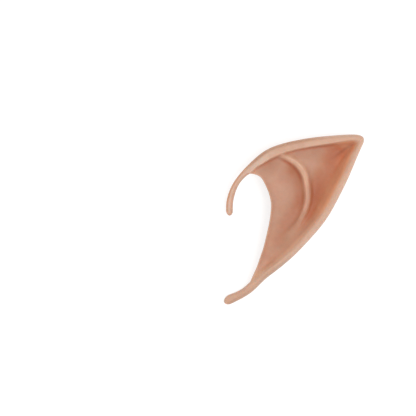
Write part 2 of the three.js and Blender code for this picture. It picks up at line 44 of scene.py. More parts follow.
# One row for each section across the ear, from the end of the upper arm to the end of the lower tail.
SECTION_COLUMNS = ("name", "outX", "outY", "inX", "inY", "crestZ", "midZ", "backZ", "rimW", "fall", "outerR", "domeW", "mouth", "pocketIn", "foldAt")
SECTIONS = [
    ("arm_end",   -31.20,   4.00, -28.10,   3.90,  5.0,  3.7, 2.4, 3.6, 0.8, 1.5,  1.5, 0.00, 3.0, 0.50),
    ("arm_low",   -31.10,   7.70, -28.00,   7.50,  5.9,  4.6, 3.2, 3.6, 0.8, 1.5,  1.5, 0.00, 3.0, 0.50),
    ("arm_bend",  -29.30,  14.00, -26.60,  13.20,  7.8,  6.3, 4.7, 3.6, 0.8, 1.4,  1.5, 0.00, 3.0, 0.50),
    ("arm_high",  -26.40,  19.00, -24.00,  17.80,  9.8,  7.8, 5.8, 3.6, 0.8, 1.5,  1.6, 0.00, 3.0, 0.50),
    ("arm_root",  -22.30,  23.80, -21.00,  20.00, 12.0,  8.9, 5.4, 3.6, 1.0, 1.8,  2.4, 0.20, 3.0, 0.50),
    ("crook",     -17.30,  28.60, -18.45,  20.35, 13.5,  9.2, 3.6, 3.6, 0.9, 2.1,  5.0, 0.65, 3.0, 0.53),
    ("crook_out", -12.30,  32.20, -15.80,  19.60, 14.4,  9.1, 1.8, 4.5, 1.0, 2.3,  8.5, 0.95, 3.0, 0.56),
    ("shoulder",   -6.00,  34.70, -14.40,  18.10, 14.8,  8.9, 0.6, 5.0, 1.2, 2.3, 11.0, 1.00, 3.0, 0.63),
    ("top_1",       1.40,  36.50, -12.80,  15.00, 14.8,  8.9, 0.0, 4.6, 1.0, 2.2, 12.5, 1.00, 3.0, 0.64),
    ("top_2",      10.30,  37.90, -11.70,  12.40, 14.6,  9.1, 0.0, 4.5, 1.0, 2.0, 12.8, 1.00, 3.0, 0.56),
    ("top_3",      20.20,  38.80, -10.90,   9.50, 14.3,  9.6, 0.0, 4.3, 1.4, 1.8, 13.0, 1.00, 4.6, 0.47),
    ("tip_top",    27.40,  39.10, -10.60,   7.80, 14.2, 10.2, 0.0, 4.0, 2.4, 1.6, 13.0, 1.00, 7.2, 0.41),
    ("tip_up",     31.30,  38.40, -10.50,   6.80, 14.1, 10.4, 0.0, 3.8, 2.8, 1.3, 13.0, 1.00, 9.2, 0.39),
    ("tip",        32.40,  37.10, -10.50,   5.90, 14.1, 10.5, 0.0, 3.7, 4.0, 1.2, 13.0, 1.00, 9.4, 0.38),
    ("tip_down",   31.50,  33.70, -10.50,   5.40, 14.1, 10.4, 0.0, 4.3, 5.2, 1.1, 13.0, 1.00, 8.4, 0.40),
    ("tip_rear",   29.50,  29.20, -10.60,   4.10, 14.2, 10.2, 0.0, 4.8, 6.2, 1.0, 13.0, 1.00, 6.8, 0.43),
    ("rear_1",     25.60,  19.90, -11.00,   0.60, 14.4,  9.4, 0.0, 5.3, 6.2, 1.0, 13.0, 1.00, 4.6, 0.48),
    ("rear_2",     20.40,   9.20, -11.70,  -3.30, 14.5,  8.7, 0.0, 5.2, 6.3, 1.1, 12.8, 1.00, 3.7, 0.51),
    ("rear_3",     14.85,  -0.40, -12.80,  -8.10, 14.3,  8.1, 0.0, 5.3, 5.0, 1.2, 12.5, 1.00, 3.0, 0.48),
    ("rear_4",      7.40,  -9.42, -14.00, -13.00, 13.6,  7.5, 0.0, 4.9, 5.0, 1.4, 12.0, 1.00, 3.0, 0.42),
    ("rear_5",     -0.22, -17.30, -15.50, -17.60, 12.3,  6.8, 0.0, 4.2, 3.6, 1.6, 11.0, 1.00, 3.0, 0.40),
    ("rear_6",     -7.75, -23.70, -17.30, -22.50, 10.4,  5.6, 0.0, 3.9, 2.8, 1.8,  9.0, 0.95, 3.0, 0.40),
    ("tail_root", -13.70, -28.45, -19.75, -27.05,  8.0,  4.3, 0.0, 3.3, 2.2, 1.9,  5.6, 0.55, 3.0, 0.42),
    ("tail_bend", -18.70, -33.35, -22.20, -30.85,  5.4,  2.9, 0.0, 4.6, 1.6, 1.9,  3.0, 0.08, 3.0, 0.46),
    ("tail_low",  -23.60, -36.65, -24.70, -32.90,  3.9,  2.0, 0.0, 4.6, 1.0, 1.9,  2.0, 0.00, 3.0, 0.50),
    ("tail_end",  -28.80, -39.30, -29.80, -35.10,  3.1,  1.5, 0.0, 4.8, 1.0, 2.0,  2.0, 0.00, 3.0, 0.50),
]
TIP_ROW = [row[0] for row in SECTIONS].index("tip")

# The antihelix fold: crest point, height over the ground beside it, reach of its two flanks.
FOLD_COLUMNS = ("name", "x", "y", "height", "innerFall", "outerFall")
FOLD = [
    ("hidden",    -14.0,  27.2, 0.0, 0.9, 1.2),
    ("rise",       -8.2,  29.3, 0.4, 0.9, 1.2),
    ("emerge",      -4.2,  28.5, 2.4, 1.0, 1.7),
    ("upper",       -1.5,  27.1, 2.8, 1.2, 1.9),
    ("bend",         1.1,  25.4, 3.1, 1.4, 2.0),
    ("bend_low",     3.4,  22.9, 3.3, 1.6, 2.0),
    ("front",        5.1,  20.0, 3.7, 1.8, 1.8),
    ("middle_up",    6.0,  16.5, 3.9, 1.8, 1.6),
    ("middle",       6.6,  12.5, 3.7, 1.8, 1.5),
    ("middle_low",   6.4,   8.5, 3.5, 1.7, 1.5),
    ("lower",        5.4,   4.6, 3.1, 1.6, 1.6),
    ("fade_1",       3.7,   0.9, 1.9, 1.5, 1.7),
    ("fade_2",       1.5,  -2.8, 1.2, 1.8, 1.9),
    ("fade_3",     -1.0,  -6.4, 1.0, 2.5, 2.3),
    ("fade_4",     -3.6,  -9.7, 0.5, 3.0, 3.0),
    ("gone",       -6.8, -13.4, 0.0, 3.0, 3.0),
]

# Ground heights of the front wall, before the rim and the fold are raised on it.
GROUND_COLUMNS = ("name", "x", "y", "z")
GROUND = [
    ("arm",            -29.0, 10.0,  6.0), ("arm_root", -22.0, 22.0, 10.4), ("edge_crook", -18.8, 20.9, 11.3),
    ("edge_high", -14.4, 18.4, 11.8), ("edge_upper", -12.3, 14.8, 11.6), ("edge_middle", -10.6, 7.0, 11.1),
    ("edge_lower", -12.0, -5.0, 10.6), ("edge_low", -14.4, -14.5, 9.3), ("edge_tail", -17.6, -23.0, 7.6),
    ("tail",           -23.5, -34.5, 3.6), ("concha_under_rim", -11.0, 25.4, 10.7), ("concha_bright", -9.6, 19.6, 12.0),
    ("concha_top",      -6.0, 24.0, 11.0), ("concha_pit", -1.6, 22.6, 9.8), ("concha_mid", -4.0, 15.5, 10.8),
    ("concha_fold", 2.2, 13.2, 9.3), ("concha_open", -5.8, 8.6, 10.7), ("concha_fold_low", 1.6, 5.4, 9.0),
    ("concha_low",      -7.2, -1.5, 10.1), ("concha_deep", -0.7, -4.0, 8.7), ("concha_foot", -9.4, -12.0, 9.1),
    ("concha_drain", -5.6, -11.4, 8.7), ("concha_tail", -10.8, -19.6, 8.0), ("scapha_start", 3.0, 30.8, 11.4),
    ("fold_root",       -2.6, 30.8, 12.1), ("fold_back", 3.4, 28.0, 11.7), ("scapha_shelf", 6.4, 25.2, 11.1),
    ("fold_side", 8.0, 21.6, 9.9), ("scapha_top", 8.8, 31.4, 10.4), ("scapha_front", 9.2, 18.6, 9.0),
    ("scapha_mid", 14.6, 31.4, 9.6), ("scapha_hill", 13.0, 26.2, 9.9), ("scapha_slope", 14.8, 20.2, 9.0),
    ("scapha_deep", 21.8, 32.0, 8.2), ("scapha_tip", 26.8, 34.0, 10.4), ("scapha_rear", 20.2, 24.0, 9.0),
    ("scapha_low", 23.6, 26.8, 10.0), ("gutter_top", 9.6, 12.2, 7.8), ("gutter_rear", 15.2, 13.0, 9.8),
    ("gutter_low", 7.7, 4.5, 8.0), ("gutter_side", 11.2, 5.2, 9.8), ("gutter_end", 4.6, -3.0, 9.1),
    ("gutter_fade",      0.6, -8.8,  9.5), ("rear_low", -3.0, -14.0, 9.6), ("scapha_edge", 21.4, 35.0, 11.0), ("scapha_side", 15.4, 34.4, 10.1), ("tail_field", -7.2, -17.6, 9.3), ("scapha_corner", 26.2, 30.0, 11.0),
]

ARM_CAP, TAIL_CAP = 2.35, 3.1          # how far the two round ends reach past their last section
WALL_FRONT, WALL_BACK = 1.5, 1.4       # latex thickness of the two walls
LIP_R, BACK_LIP_R = 0.72, 0.68         # rounding of the two walls' cut edges
BACK_SET = 3.2                         # how far the back wall's edge stands back from the front wall's
TIP_LIFT, TIP_REACH = 6.2, 30.0        # how the back wall sweeps up to the tip
FLARE, FLARE_W = 0.9, 5.0              # the back wall lifts by this much towards its own edge
ARM_R = 1.35                           # rounding of the arms' inner side
POCKET_ROUND = 1.2                     # depth of the pocket's rounded end
FOLD_HALF = 2.8                        # half the width of the finely sampled fold
INNER_POWER, OUTER_POWER = 4.0, 3.2    # steepness of the fold's two flanks
SLOPE_POWER = 0.65                     # below 1, the rim's slope starts steep and runs out gently

# How many points each stretch of a section's closed outline takes, and how many sections there are.
FINE = dict(sections=280, near=38, fold=26, far=40, fall=14, crest=8, rim=14, back_rim=14, dome=16, flat=10, flare=14,
            back_lip=8, floor=26, end=10, ceiling=26, lip=10, cap=10)


def column(rows, names, name):
    return np.array([row[names.index(name)] for row in rows], float)


class Spline:
    """Natural cubic through points, measured by its own length."""

    def __init__(self, x, y, per_span=40):
        p = np.stack([x, y], 1)
        h = np.linalg.norm(np.diff(p, axis=0), axis=1) ** 0.75
        n = len(p)
        a, b = np.zeros((n, n)), np.zeros_like(p)
        a[0, 0] = a[-1, -1] = 1
        for i in range(1, n - 1):
            a[i, i - 1], a[i, i], a[i, i + 1] = h[i - 1], 2 * (h[i - 1] + h[i]), h[i]
            b[i] = 6 * ((p[i + 1] - p[i]) / h[i] - (p[i] - p[i - 1]) / h[i - 1])
        m = np.linalg.solve(a, b)
        pts = []
        for k in range(n - 1):
            for j in range(per_span + (k == n - 2)):
                v = j / per_span * h[k]
                u = h[k] - v
                pts.append((m[k] * u**3 + m[k + 1] * v**3) / (6 * h[k])
                           + (p[k] / h[k] - m[k] * h[k] / 6) * u + (p[k + 1] / h[k] - m[k + 1] * h[k] / 6) * v)
        self.line = np.array(pts)
        self.length = np.r_[0, np.cumsum(np.linalg.norm(np.diff(self.line, axis=0), axis=1))]
        self.knots = self.length[::per_span]

    def at(self, s):
        return np.stack([np.interp(s, self.length, self.line[:, k]) for k in (0, 1)], -1)


class Smooth:
    """Monotone cubic of a value over the row number."""

    def __init__(self, y):
        d = np.diff(y)
        m = np.zeros(len(y))
        for i in range(1, len(y) - 1):
            if d[i - 1] * d[i] > 0:
                m[i] = 2 * d[i - 1] * d[i] / (d[i - 1] + d[i])
        m[0], m[-1] = d[0], d[-1]
        self.y, self.m = np.asarray(y, float), m

    def at(self, u):
        k = np.clip(np.floor(u).astype(int), 0, len(self.y) - 2)
        t = u - k
        y0, y1, m0, m1 = self.y[k], self.y[k + 1], self.m[k], self.m[k + 1]
        return (2 * t**3 - 3 * t**2 + 1) * y0 + (t**3 - 2 * t**2 + t) * m0 + (-2 * t**3 + 3 * t**2) * y1 + (t**3 - t**2) * m1


class Plate:
    """Thin plate through named heights."""

    def __init__(self, x, y, z, stiff=0.05):
        self.p = np.stack([x, y], 1)
        n = len(x)
        k = self.kernel(np.linalg.norm(self.p[:, None] - self.p[None], axis=2)) + stiff * np.eye(n)
        q = np.c_[np.ones(n), self.p]
        self.w = np.linalg.solve(np.block([[k, q], [q.T, np.zeros((3, 3))]]), np.r_[z, 0, 0, 0])

    @staticmethod
    def kernel(r):
        r = np.maximum(r, 1e-9)
        return r * r * np.log(r) * 0.1

    def at(self, p):
        out = np.zeros(len(p))
        for i in range(0, len(p), 20000):
            c = p[i:i + 20000]
            k = self.kernel(np.linalg.norm(c[:, None] - self.p[None], axis=2))
            out[i:i + 20000] = k @ self.w[:-3] + self.w[-3] + c @ self.w[-2:]
        return out


def step(lo, hi, x):
    t = np.clip((x - lo) / (hi - lo), 0, 1)
    return t * t * (3 - 2 * t)


def nearest(p, line):
    """Distance to a polyline, its signed side and the index along it."""
    a, ab = line[:-1], np.diff(line, axis=0)
    l2 = (ab**2).sum(1)
    dist, side, where = np.empty(len(p)), np.empty(len(p)), np.empty(len(p))
    for i in range(0, len(p), 4000):
        c = p[i:i + 4000]
        apx, apy = c[:, None, 0] - a[None, :, 0], c[:, None, 1] - a[None, :, 1]
        t = np.clip((apx * ab[:, 0] + apy * ab[:, 1]) / l2, 0, 1)
        d2 = (apx - t * ab[:, 0]) ** 2 + (apy - t * ab[:, 1]) ** 2
        k = d2.argmin(1)
        r = np.arange(len(c))
        dist[i:i + 4000] = np.sqrt(d2[r, k])
        side[i:i + 4000] = np.sign(ab[k, 0] * apy[r, k] - ab[k, 1] * apx[r, k])
        where[i:i + 4000] = k + t[r, k]
    return dist, side, where


class Ear:
    def __init__(self):
        section = lambda name: column(SECTIONS, SECTION_COLUMNS, name)
        fold = lambda name: column(FOLD, FOLD_COLUMNS, name)
        self.out = Spline(section("outX"), section("outY"))
        self.inn = Spline(section("inX"), section("inY"))
        self.s_out, self.s_in = Smooth(self.out.knots), Smooth(self.inn.knots)
        self.col = {c: Smooth(section(c)) for c in SECTION_COLUMNS[5:]}
        self.fold = Spline(fold("x"), fold("y"))
        self.foldcol = {c: Smooth(fold(c)) for c in FOLD_COLUMNS[3:]}
        self.ground = Plate(*(column(GROUND, GROUND_COLUMNS, c) for c in "xyz"))
        self.tip = np.array(SECTIONS[TIP_ROW][1:3], float)
        self.top_line, self.rear_line = self.out.line[:TIP_ROW * 40 + 1], self.out.line[TIP_ROW * 40:]

    def ends(self, u):
        return self.inn.at(self.s_in.at(u)), self.out.at(self.s_out.at(u))

    def depth(self, p, *rounds):
        """Depth in from the outline: the true one, then one for each rounding of the corner at the tip."""
        d1, d2 = nearest(p, self.top_line)[0], nearest(p, self.rear_line)[0]
        d = np.minimum(d1, d2)
        out = [d]
        for k in rounds:
            soft = d - k * np.log(np.exp(-(d1 - d) / k) + np.exp(-(d2 - d) / k))
            out.append(d + (soft - d) * step(0.6, 3.5, d))
        return out

    def front(self, p, u, soft):
        """Height of the front surface: ground, fold and rim."""
        dist, side, where = nearest(p, self.fold.line)
        r = where / 40
        reach = np.where(side < 0, self.foldcol["innerFall"].at(r), self.foldcol["outerFall"].at(r))
        power = np.where(side < 0, INNER_POWER, OUTER_POWER)
        z = self.ground.at(p) + self.foldcol["height"].at(r) / (1 + (dist / reach) ** power) * step(0, 0.5, r)
        w, fall, crest = (self.col[c].at(u) for c in ("rimW", "fall", "crestZ"))
        down = np.clip((soft - w + 0.5 * fall) / fall, 0, 1) ** SLOPE_POWER
        return z + (crest - z) * (1 - step(0, 1, down))

    def back(self, p, u, soft):
        """Height of the back surface: a dome, flat in its middle, that sweeps up to the tip."""
        w, mid, back = (self.col[c].at(u) for c in ("domeW", "midZ", "backZ"))
        near_tip = np.clip(1 - np.linalg.norm(p - self.tip, axis=1) / TIP_REACH, 0, 1)
        back = back + TIP_LIFT * near_tip * near_tip
        x = np.clip(1 - soft / w, 0, 1)
        return back + (mid - back) * (1 - np.sqrt(np.maximum(0, 1 - x * x)))


def spread(n, a, b, last=False):
    t = np.arange(n) / (n - 1 if last else n)
    return a[:, None] + (b - a)[:, None] * t[None]


def stations(ear, n):
    """Row numbers of the sections: evenly spaced, and closer round the tip."""
    k = np.linspace(0, len(SECTIONS) - 1, 4001)
    i, o = ear.ends(k)
    length = 0.5 * np.linalg.norm(np.diff(o, axis=0), axis=1) + 0.5 * np.linalg.norm(np.diff(i, axis=0), axis=1)
    weight = 1 + 1.6 * np.exp(-((((k[1:] + k[:-1]) / 2 - TIP_ROW) / 1.6) ** 2))
    s = np.r_[0, np.cumsum(length * weight)]
    return np.interp(np.linspace(0, s[-1], n), s, k)


def sections(ear, grid):
    """The closed outlines of all sections, (sections, points, 3), the row number of each and its points on the front."""
    u = stations(ear, grid["sections"])
    inner, outer = ear.ends(u)
    width = np.linalg.norm(outer - inner, axis=1)
    col = {c: s.at(u) for c, s in ear.col.items()}
    m = np.clip(col["mouth"], 0, 1)
    n = len(u)

    t = np.linspace(0, 1, 140) ** 1.6
    pos = outer[:, None] + (inner - outer)[:, None] * t[None, :, None]
    ds = np.maximum.accumulate(ear.depth(pos.reshape(-1, 2), 0.6)[1].reshape(n, -1), axis=1) + np.arange(140) * 1e-7

    def at_depth(want, most=np.inf):
        return np.minimum([np.interp(want[j], ds[j], t) for j in range(n)], most)

    # front surface, from the concave edge out to the outline
    lip = (1 - m) * ARM_R + m * LIP_R
    a_lip = lip / width
    d_crest = np.maximum(col["rimW"] - 0.55 * col["fall"], col["outerR"] * 1.1 + 0.2)
    d_rim = np.maximum(col["rimW"] + 0.62 * col["fall"], d_crest + 0.8)
    f_rim = at_depth(d_rim, 1 - a_lip - 0.02)
    f_crest = at_depth(d_crest, 0.95 * f_rim)
    f_round = at_depth(col["outerR"], 0.92 * f_crest)
    b_rim, b_crest, b_round = 1 - f_rim, 1 - f_crest, 1 - f_round
    field = b_rim - a_lip
    at_fold = np.clip(col["foldAt"], 0, 1) * width
    lo = np.clip((at_fold - FOLD_HALF) / width, a_lip + 0.25 * field, a_lip + 0.86 * field)
    hi = np.clip((at_fold + FOLD_HALF) / width, lo + 0.06 * field, np.maximum(lo + 0.06 * field, a_lip + 0.93 * field))
    ang = np.linspace(0, math.pi / 2, grid["rim"] + 1)
    rounding = np.array([np.interp(col["outerR"][j] * (1 - np.sin(ang)), ds[j], t) for j in range(n)])
    rounding = 1 - np.minimum(rounding, f_round[:, None])
    rounding[:, 0] = b_round
    top = np.concatenate([spread(grid["near"], a_lip, lo), spread(grid["fold"], lo, hi), spread(grid["far"], hi, b_rim),
                          spread(grid["fall"], b_rim, b_crest), spread(grid["crest"], b_crest, b_round), rounding[:, :-1]], axis=1)

    # back surface, from the outline in to the back wall's edge
    back_end = m * (BACK_SET + BACK_LIP_R) + (1 - m) * ARM_R
    b_back = back_end / width
    ang = np.linspace(0, math.pi / 2, grid["back_rim"] + 1)[:-1]
    dome = 0.62 * np.minimum(col["domeW"], 6.0)
    f_rounded = at_depth(dome)
    shrink = np.minimum(1, 0.55 * (1 - b_back) / np.maximum(f_rounded, 1e-6))
    f_dome = np.array([np.interp(dome[j] * (1 - np.cos(ang)), ds[j], t) for j in range(n)]) * shrink[:, None]
    b_dome = 1 - f_rounded * shrink
    b_flat = np.clip(1 - at_depth(col["domeW"]), b_back + 0.3 * (b_dome - b_back), b_back + 0.75 * (b_dome - b_back))
    b_flare = np.clip(b_back + FLARE_W / width, b_back + 0.3 * (b_flat - b_back), b_back + 0.7 * (b_flat - b_back))
    bottom = np.concatenate([1 - f_dome, spread(grid["dome"], b_dome, b_flat), spread(grid["flat"], b_flat, b_flare),
                             spread(grid["flare"], b_flare, b_back, True)], axis=1)

    def plan(f):
        return inner[:, None] + (outer - inner)[:, None] * f[..., None]

    def repeat(value, f):
        return np.repeat(value, f.shape[1])

    def back_height(p, f, soft):
        from_edge = (f * width[:, None]).reshape(-1) - repeat(back_end, f)
        return ear.back(p, repeat(u, f), soft) + FLARE * (1 - step(0, FLARE_W, from_edge)) * repeat(m, f)

    p = plan(top).reshape(-1, 2)
    real, soft = ear.depth(p, 0.6)
    uu = repeat(u, top)
    outer_r, mid = ear.col["outerR"].at(uu), ear.col["midZ"].at(uu)
    q = np.clip((outer_r - real) / outer_r, 0, 1)
    z = mid + (ear.front(p, uu, soft) - mid) * np.sqrt(np.maximum(0, 1 - q * q))
    front_xyz = np.c_[p, z].reshape(n, -1, 3)

    p = plan(bottom).reshape(-1, 2)
    back_xyz = np.c_[p, back_height(p, bottom, ear.depth(p, 1.6)[1])].reshape(n, -1, 3)

    # inner side: back wall's edge, pocket floor, pocket end, ceiling, front wall's edge
    z_top, z_bottom = front_xyz[:, 0, 2], back_xyz[:, -1, 2]
    b_pocket = np.maximum(1 - at_depth(col["pocketIn"] + POCKET_ROUND), b_back + 0.3 / width)
    b_stop = np.maximum(1 - at_depth(col["pocketIn"]), b_pocket + 0.3 / width)

    def walls(f):
        p = plan(f).reshape(-1, 2)
        at_lip = repeat(z_top - 2 * lip, f)
        rise = step(0, 2.5, (f * width[:, None]).reshape(-1) - repeat(lip, f))
        high = at_lip + (ear.ground.at(p) - WALL_FRONT - at_lip) * rise
        low = np.minimum(back_height(p, f, ear.depth(p, 1.6)[1]) + WALL_BACK, high - 0.9)
        return p, low, high

    f_floor, f_ceiling = spread(grid["floor"], b_back, b_pocket), spread(grid["ceiling"], b_pocket, a_lip)
    p, low, _ = walls(f_floor)
    floor = np.c_[p, low].reshape(n, -1, 3)
    p, _, high = walls(f_ceiling)
    ceiling = np.c_[p, high].reshape(n, -1, 3)
    _, low, high = walls(b_pocket[:, None])
    ang = -math.pi / 2 + math.pi * np.arange(grid["end"]) / grid["end"]
    end = np.concatenate([plan(b_pocket[:, None] + (b_stop - b_pocket)[:, None] * np.cos(ang)),
                          (((low + high) / 2)[:, None] + ((high - low) / 2)[:, None] * np.sin(ang))[..., None]], axis=2)
    ang = -math.pi / 2 + math.pi * np.arange(1, grid["back_lip"] + 1) / (grid["back_lip"] + 1)
    z_floor = floor[:, 0, 2]
    back_lip = np.concatenate([plan(b_back[:, None] - (BACK_LIP_R / width)[:, None] * np.cos(ang)),
                               (((z_bottom + z_floor) / 2)[:, None] + ((z_floor - z_bottom) / 2)[:, None] * np.sin(ang))[..., None]], axis=2)
    ang = -math.pi / 2 + math.pi * np.arange(grid["lip"]) / grid["lip"]
    front_lip = np.concatenate([plan(a_lip[:, None] * (1 - np.cos(ang))),
                                ((z_top - lip)[:, None] + lip[:, None] * np.sin(ang))[..., None]], axis=2)
    hollow = np.concatenate([back_lip, floor, end, ceiling, front_lip], axis=1)

    # where the arms are solid, the same points close the section with a plain rounding
    ang = -math.pi / 2 + math.pi * (np.arange(hollow.shape[1]) + 1) / (hollow.shape[1] + 1)
    shut = np.concatenate([plan((ARM_R / width)[:, None] * (1 - np.cos(ang))),
                           (((z_top + z_bottom) / 2)[:, None] + ((z_top - z_bottom) / 2)[:, None] * np.sin(ang))[..., None]], axis=2)
    side = shut * (1 - m[:, None, None]) + hollow * m[:, None, None]
    return np.concatenate([front_xyz, back_xyz, side], axis=1), u, front_xyz.shape[1]


def close(loops, cap_rings):
    """Adds the two round ends and returns the points and faces of one closed surface."""
    def middle(loop):
        return (loop.min(0) + loop.max(0)) / 2

    def cap(loop, inward, reach):
        c = middle(loop)
        axis = (c - middle(inward)) * (1, 1, 0.5)
        axis /= np.linalg.norm(axis)
        angles = [math.pi / 2 * k / cap_rings for k in range(1, cap_rings)]
        return [c + (loop - c) * math.cos(a) + axis * reach * math.sin(a) for a in angles], c + axis * reach

    arm, arm_pole = cap(loops[0], loops[1], ARM_CAP)
    tail, tail_pole = cap(loops[-1], loops[-2], TAIL_CAP)
    rings = arm[::-1] + list(loops) + tail
    n = loops.shape[1]
    points = np.concatenate(rings + [arm_pole[None], tail_pole[None]])
    k = np.arange(n)
    k2 = (k + 1) % n
    faces = []
    for j in range(len(rings) - 1):
        faces += np.stack([j * n + k, (j + 1) * n + k, (j + 1) * n + k2, j * n + k2], 1).tolist()
    first, last, end = len(rings) * n, len(rings) * n + 1, (len(rings) - 1) * n
    faces += [(first, a, b) for a, b in zip(k.tolist(), k2.tolist())]
    faces += [(last, end + b, end + a) for a, b in zip(k.tolist(), k2.tolist())]
    return points, faces, len(arm)


# ---------------------------------------------------------------------------------------------------------------
# Mesh and the surface values that the material reads
# ---------------------------------------------------------------------------------------------------------------

def blur(image, sigma):
    """Separable Gaussian."""
    r = int(3 * sigma) + 1
    k = np.exp(-(np.arange(-r, r + 1) ** 2) / (2 * sigma * sigma))
    k /= k.sum()
    for axis in (0, 1):
        image = np.apply_along_axis(lambda line: np.convolve(np.pad(line, r, mode="edge"), k, mode="valid"), axis, image)
    return image


REACH = 0.9                            # mm over which the surroundings of a point are averaged


def relief(points, faces):
    """How far each point of the surface lies below (+) or above (-) its surroundings, seen from the front, in mm."""
    tree = BVHTree.FromPolygons(points.tolist(), faces)
    cell = 0.3
    xs = np.arange(points[:, 0].min() - 6, points[:, 0].max() + 6, cell)
    ys = np.arange(points[:, 1].min() - 6, points[:, 1].max() + 6, cell)
    height = np.zeros((len(xs), len(ys)))
    inside = np.zeros_like(height)
    down = Vector((0, 0, -1))
    for i, x in enumerate(xs):
        for j, y in enumerate(ys):
            hit = tree.ray_cast(Vector((x, y, 40)), down)
            if hit[0] is not None:
                height[i, j], inside[i, j] = hit[0].z, 1

    def sample(image):
        fx, fy = (points[:, 0] - xs[0]) / cell, (points[:, 1] - ys[0]) / cell
        i, j = fx.astype(int), fy.astype(int)
        a, b = fx - i, fy - j
        return (image[i, j] * (1 - a) * (1 - b) + image[i + 1, j] * a * (1 - b)
                + image[i, j + 1] * (1 - a) * b + image[i + 1, j + 1] * a * b)

    weight = blur(inside, REACH / cell)
    around = blur(height * inside, REACH / cell) / np.maximum(weight, 1e-3)
    return sample(np.where(weight > 1e-3, around, 0)) - points[:, 2]


ear = Ear()
loops, rows, n_front = sections(ear, FINE)
points, faces, n_cap = close(loops, FINE["cap"])
n_loop = loops.shape[1]

mesh = bpy.data.meshes.new("ear_tip_skin")
mesh.from_pydata((points / 1000).tolist(), [], faces)
mesh.update()
mesh.polygons.foreach_set("use_smooth", [True] * len(mesh.polygons))


def attribute(name, values):
    layer = mesh.attributes.new(name, "FLOAT", "POINT")
    layer.data.foreach_set("value", np.asarray(values, np.float32))


# how far each point lies below its surroundings; the material paints shade into the pits by it
fine_pit = relief(points, faces)
k_in_loop = np.r_[np.arange(len(points) - 2) % n_loop, 0, 0]
front = np.r_[(k_in_loop[:-2] < n_front), True, True].astype(float)
attribute("fine_pit", np.clip(fine_pit, -3, 3) * front * step(0.7, 1.7, ear.depth(points[:, :2])[0]))
# how far the front surface lies below the rim beside it
crest = ear.col["crestZ"].at(rows)
ring_crest = np.r_[np.full(n_cap, crest[0]), crest, np.full(len(points) // n_loop - n_cap - len(crest), crest[-1])]
mouth = ear.col["mouth"].at(rows)
ring_mouth = np.r_[np.full(n_cap, 0.0), mouth, np.full(len(points) // n_loop - n_cap - len(crest), 0.0)]
sunk = np.r_[np.repeat(ring_crest, n_loop), crest[0], crest[-1]] - points[:, 2]
open_part = np.r_[np.repeat(ring_mouth, n_loop), 0, 0]
on_field = step(0.4, 1.6, ear.depth(points[:, :2])[0])
attribute("sunk", np.clip(sunk, 0, 8) * front * np.clip(open_part, 0, 1) * on_field)
# painted shade, redder and darker: the furrow behind the fold, the bowl beside it, the inside of the tip and the outer
# edge of the top rim;
# painted shade: the dark line at the fold's foot; painted highlight: the inner side of the upper arm and the rear rim's
# edge; painted light and shade: the overall lightness, raised and lowered place by place
xy = points[:, :2]
real_depth, d_top, d_rear = ear.depth(xy)[0], nearest(xy, ear.top_line)[0], nearest(xy, ear.rear_line)[0]
dist, side, along = nearest(xy, ear.fold.line)
beside, along = dist * side, along / 40
from_tip = np.linalg.norm(xy - ear.tip, axis=1)
ring_row = np.r_[np.zeros(n_cap), rows, np.full(len(points) // n_loop - n_cap - len(rows), rows[-1])]
row = np.r_[np.repeat(ring_row, n_loop), 0, rows[-1]]
furrow = step(2.0, 3.8, d_rear) * (1 - step(12.5, 18.0, d_rear)) * (1 - 0.5 * step(16.8, 18.4, row))
furrow = np.maximum(furrow, 1 - step(10.0, 25.0, from_tip)) * step(0.6, 1.8, beside)
bowl = step(1.4, 2.4, -beside) * (1 - step(4.0, 7.5, -beside)) * step(2.3, 4.0, along) * (1 - step(9.0, 12.0, along))
in_tip = 1 - step(8.0, 20.0, from_tip)
on_slope = step(2.0, 3.2, d_rear) * (1 - step(5.5, 8.0, d_rear)) * (1 - step(16.8, 18.4, row))
in_tip = in_tip * (1 - 0.6 * step(0.2, 2.5, d_rear - d_top))
valley = np.exp(-((d_top - d_rear) / 1.4) ** 2) * step(5.0, 9.0, from_tip) * (1 - step(13.0, 20.0, from_tip))
zone = np.maximum(np.maximum(0.25 * in_tip, on_slope), 0.7 * valley)
far_bowl = 0.13 * step(9.0, 12.0, -beside) * step(7.0, 8.0, row) * (1 - step(20.0, 21.5, row))
recess = np.maximum(np.maximum(0.62 * furrow, 0.78 * bowl) + 0.38 * zone, far_bowl) * step(0.4, 1.8, sunk) * on_field
d_bay = nearest(xy, ear.inn.line)[0]
bay_edge = (1 - step(0.6, 2.8, d_bay)) * step(7.0, 8.0, row) * (1 - step(20.0, 21.5, row))
on_arm = 1 - step(4.0, 5.0, row)
top_edge = (1 - step(0.7 - 0.3 * on_arm, 1.8 - 0.6 * on_arm, d_top)) * (1 - step(8.5, 9.8, row))
tail_edge = (1 - step(0.9, 2.0, d_rear)) * step(19.5, 20.5, row)
side_fade = 1 - step(1.5, 7.5, sunk)
# painted shade: redder and darker in the hollows and on the top rim's outer edge
attribute("ruddy_shade", np.maximum(np.maximum(recess, 0.35 * bay_edge) * front, 0.72 * top_edge * side_fade))
foot = ear.foldcol["innerFall"].at(along) + 0.65
# painted shade: a dark line along the fold's foot, and a fainter one behind the fold
crease_shade = np.exp(-((-beside - foot) / np.where(-beside < foot, 0.9, 0.7)) ** 2) * step(1.2, 2.4, along) * (1 - step(5.5, 7.5, along))
flank = np.exp(-((-beside - 1.4) / 0.9) ** 2) * step(5.5, 7.5, along) * (1 - step(10.5, 12.0, along))
near_crest = np.exp(-((np.abs(beside) - 0.9) / 0.5) ** 2) * step(1.5, 2.5, along) * (1 - step(9.5, 11.5, along))
behind = np.exp(-((beside - ear.foldcol["outerFall"].at(along) - 0.9) / 0.8) ** 2) * step(6.0, 8.0, along) * (1 - step(10.5, 12.0, along))
attribute("crease_shade", np.maximum(crease_shade, 0.3 * behind) * front)
